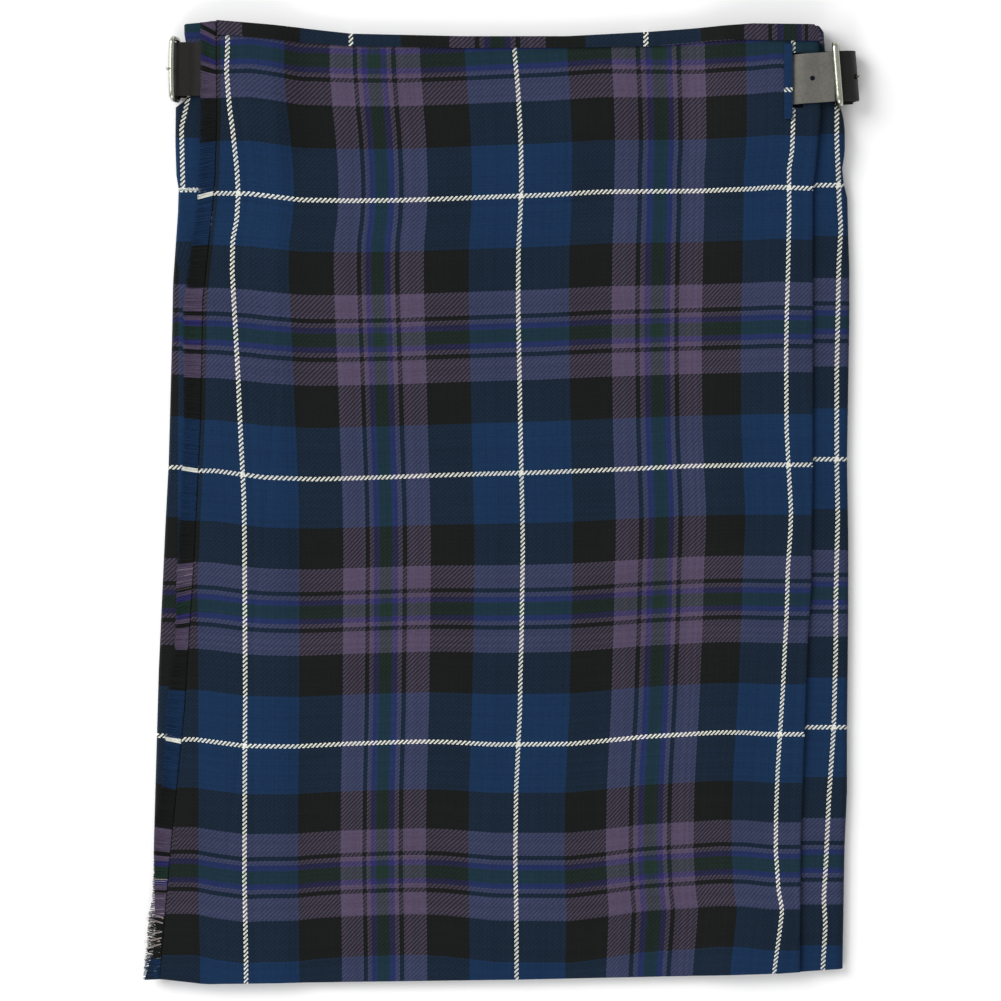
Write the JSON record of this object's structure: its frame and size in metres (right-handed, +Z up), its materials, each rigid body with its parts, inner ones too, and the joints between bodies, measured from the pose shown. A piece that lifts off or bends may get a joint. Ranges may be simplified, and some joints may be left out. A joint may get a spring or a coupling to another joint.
{
  "type": "scottish kilt",
  "caption": "Tartan kilt buckled and laid flat on its knife-pleated back, with a fringed over apron, leather side straps and chrome buckles.",
  "frame": {"origin": "centre of the kilt's box on the surface it lies on", "axes": "+Z up off the surface, +Y up the kilt to the waist, +X across it towards the wearer's left hip"},
  "size_m": [0.4591, 0.6163, 0.0251],
  "materials": {
    "tartan": "matt woven twill check in blue, black, mauve, green and white",
    "band": "matt woven twill check, folded band",
    "fringe": "loose weft ends",
    "binding": "matt blue cloth",
    "black_leather": "satin black leather",
    "worn_leather": "worn grey leather",
    "chrome": "polished"
  },
  "bodies": {
    "root": {"back_pleats": "tartan", "under_apron": "tartan", "left_hip_panel": "tartan", "over_apron": "tartan", "over_apron_band": "band", "back_band": "band", "apron_fringe": "fringe", "slit_binding": "binding", "apron_strap": "black_leather", "under_strap": "worn_leather", "apron_chape": "black_leather", "under_chape": "black_leather", "apron_buckle": "chrome", "under_buckle": "chrome", "apron_prong": "chrome", "under_prong": "chrome"}
  },
  "joints": []
}
